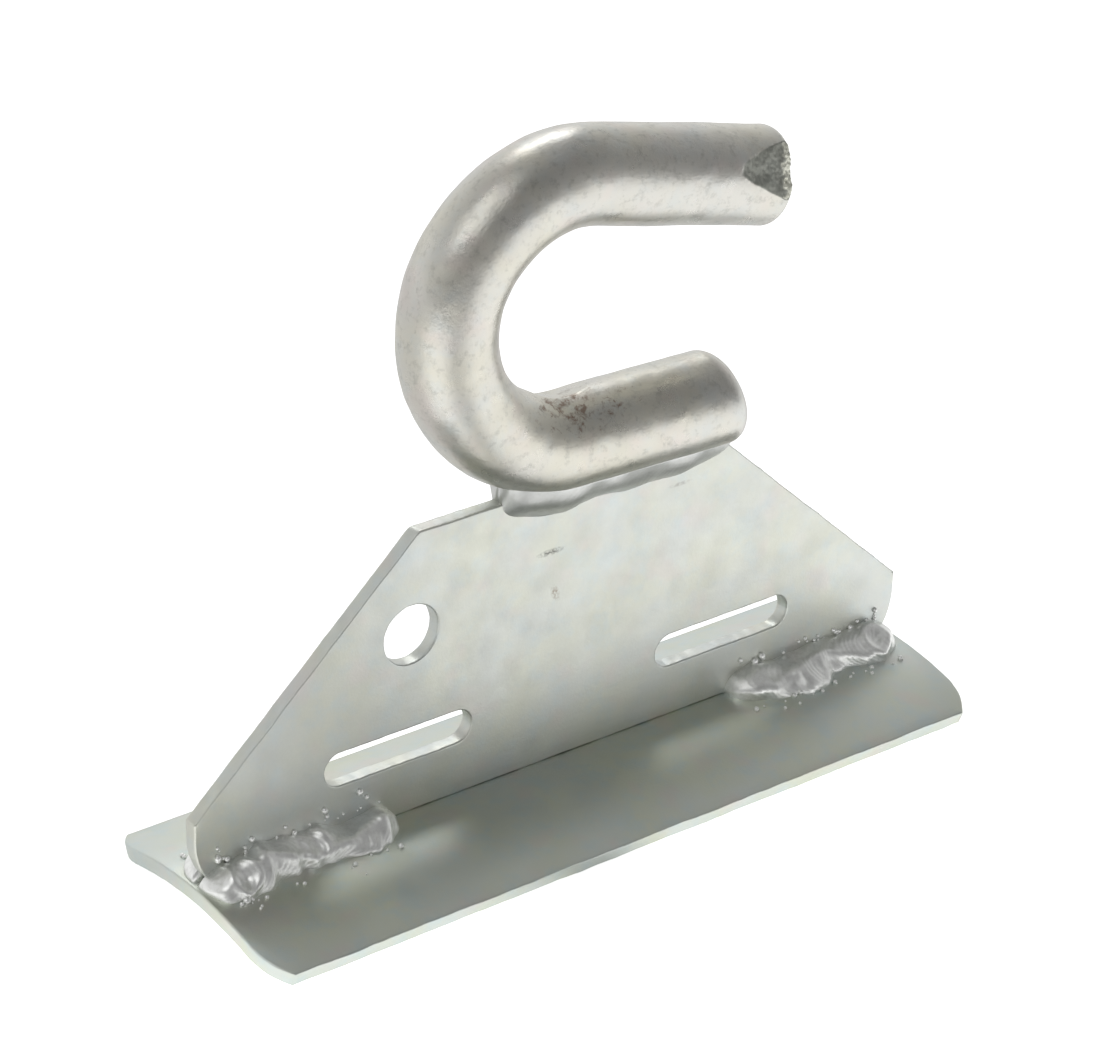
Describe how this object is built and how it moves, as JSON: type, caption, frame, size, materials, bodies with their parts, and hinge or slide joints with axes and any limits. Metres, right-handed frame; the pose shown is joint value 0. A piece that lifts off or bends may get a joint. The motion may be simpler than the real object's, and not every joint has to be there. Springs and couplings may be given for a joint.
{
  "type": "pole-mounted cable j hook",
  "caption": "Zinc-plated steel hook bracket: curved pole saddle, upright slotted web plate and a bent round bar welded along its top edge.",
  "frame": {"origin": "centre of the saddle, on the plane that its two long lower edges stand on", "axes": "+X along the saddle and the pole, towards the hook's mouth; +Y across the saddle, away from the side that carries the bar's sheared facet; +Z away from the pole"},
  "size_m": [0.16, 0.0542, 0.1311],
  "materials": {
    "zinc_saddle": "zinc plated, dull grey-green with faint passivation colours",
    "zinc_web": "zinc plated, pale silvery grey with faint passivation colours",
    "zinc_bar": "zinc plated, satin with a grainy skin",
    "weld_bright": "zinc plated weld metal, bright and rippled",
    "weld_dull": "zinc plated weld metal, smooth and dull"
  },
  "bodies": {
    "root": {"saddle_plate": "zinc_saddle", "web_plate": "zinc_web", "hook_bar": "zinc_bar", "saddle_weld_front_left": "weld_bright", "saddle_weld_front_right": "weld_bright", "saddle_weld_back_left": "weld_bright", "saddle_weld_back_right": "weld_bright", "hook_weld_front": "weld_dull", "hook_weld_back": "weld_dull"}
  },
  "joints": []
}
